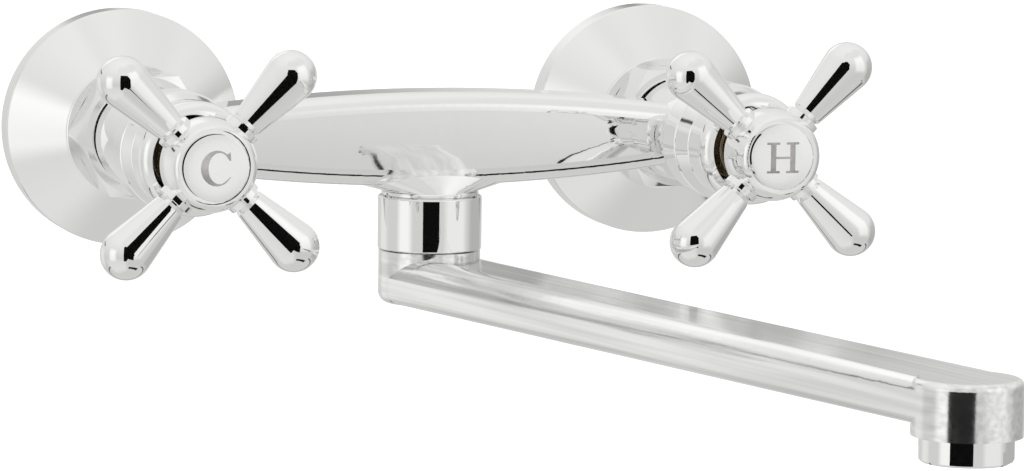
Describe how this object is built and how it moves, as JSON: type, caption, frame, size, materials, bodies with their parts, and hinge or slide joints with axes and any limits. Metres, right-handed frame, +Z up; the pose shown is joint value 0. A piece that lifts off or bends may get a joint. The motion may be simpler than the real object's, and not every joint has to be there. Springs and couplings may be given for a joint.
{
  "type": "wall-mounted kitchen faucet",
  "caption": "Two-handle wall-mounted kitchen faucet with cross handles, a bar-shaped body on two eccentric unions and a long swivel spout with an aerator.",
  "frame": {"origin": "on the finished wall plane, midway between the two wall outlets", "axes": "+X to the user's right, +Y into the wall along the inlets, +Z up"},
  "size_m": [0.214, 0.3237, 0.0815],
  "materials": {
    "body_casting": "polished chrome plate",
    "spout_nut": "polished chrome plate",
    "spout": "polished chrome plate",
    "aerator_housing": "polished chrome plate",
    "spout_slip_ring": "white acetal",
    "spout_split_ring": "white acetal",
    "spout_orings": "black nitrile rubber",
    "aerator_washer": "black nitrile rubber",
    "aerator_insert": "white acetal",
    "s_union_left": "machined brass",
    "rosette_left": "polished chrome plate",
    "union_nut_left": "polished chrome plate",
    "inlet_gasket_left": "flat sealing gasket",
    "inlet_nipple_left": "machined brass",
    "seat_seal_left": "black nitrile rubber",
    "fixed_disc_left": "lapped alumina",
    "headwork_body_left": "machined brass",
    "headwork_oring_left": "black nitrile rubber",
    "bell_left": "polished chrome plate",
    "turning_disc_left": "lapped alumina",
    "spindle_left": "machined brass",
    "spindle_orings_left": "black nitrile rubber",
    "spindle_clip_left": "stainless steel",
    "handle_left": "polished chrome plate",
    "handle_screw_left": "stainless steel",
    "index_cap_left": "polished chrome plate",
    "s_union_right": "machined brass",
    "rosette_right": "polished chrome plate",
    "union_nut_right": "polished chrome plate",
    "inlet_gasket_right": "flat sealing gasket",
    "inlet_nipple_right": "machined brass",
    "seat_seal_right": "black nitrile rubber",
    "fixed_disc_right": "lapped alumina",
    "headwork_body_right": "machined brass",
    "headwork_oring_right": "black nitrile rubber",
    "bell_right": "polished chrome plate",
    "turning_disc_right": "lapped alumina",
    "spindle_right": "machined brass",
    "spindle_orings_right": "black nitrile rubber",
    "spindle_clip_right": "stainless steel",
    "handle_right": "polished chrome plate",
    "handle_screw_right": "stainless steel",
    "index_cap_right": "polished chrome plate"
  },
  "bodies": {
    "mixer_body": {"body_casting": "body_casting", "spout_nut": "spout_nut", "spout_slip_ring": "spout_slip_ring", "s_union_left": "s_union_left", "rosette_left": "rosette_left", "union_nut_left": "union_nut_left", "inlet_gasket_left": "inlet_gasket_left", "inlet_nipple_left": "inlet_nipple_left", "seat_seal_left": "seat_seal_left", "fixed_disc_left": "fixed_disc_left", "headwork_body_left": "headwork_body_left", "headwork_oring_left": "headwork_oring_left", "bell_left": "bell_left", "s_union_right": "s_union_right", "rosette_right": "rosette_right", "union_nut_right": "union_nut_right", "inlet_gasket_right": "inlet_gasket_right", "inlet_nipple_right": "inlet_nipple_right", "seat_seal_right": "seat_seal_right", "fixed_disc_right": "fixed_disc_right", "headwork_body_right": "headwork_body_right", "headwork_oring_right": "headwork_oring_right", "bell_right": "bell_right"},
    "handle_left_set": {"turning_disc_left": "turning_disc_left", "spindle_left": "spindle_left", "spindle_orings_left": "spindle_orings_left", "spindle_clip_left": "spindle_clip_left", "handle_left": "handle_left", "handle_screw_left": "handle_screw_left", "index_cap_left": "index_cap_left"},
    "handle_right_set": {"turning_disc_right": "turning_disc_right", "spindle_right": "spindle_right", "spindle_orings_right": "spindle_orings_right", "spindle_clip_right": "spindle_clip_right", "handle_right": "handle_right", "handle_screw_right": "handle_screw_right", "index_cap_right": "index_cap_right"},
    "spout_set": {"spout": "spout", "aerator_housing": "aerator_housing", "spout_split_ring": "spout_split_ring", "spout_orings": "spout_orings", "aerator_washer": "aerator_washer", "aerator_insert": "aerator_insert"}
  },
  "joints": [
    {"name": "spout_swivel", "type": "hinge", "parent": "mixer_body", "child": "spout_set", "pos_m": [0, -0.049, -0.046], "axis": [0, 0, 1], "range_deg": [-102.45, 77.55]},
    {"name": "handle_left_turn", "type": "hinge", "parent": "mixer_body", "child": "handle_left_set", "pos_m": [-0.075, -0.097, -0.008], "axis": [0, -1, 0], "range_deg": [0, 90]},
    {"name": "handle_right_turn", "type": "hinge", "parent": "mixer_body", "child": "handle_right_set", "pos_m": [0.075, -0.097, -0.008], "axis": [0, -1, 0], "range_deg": [-90, 0]}
  ]
}
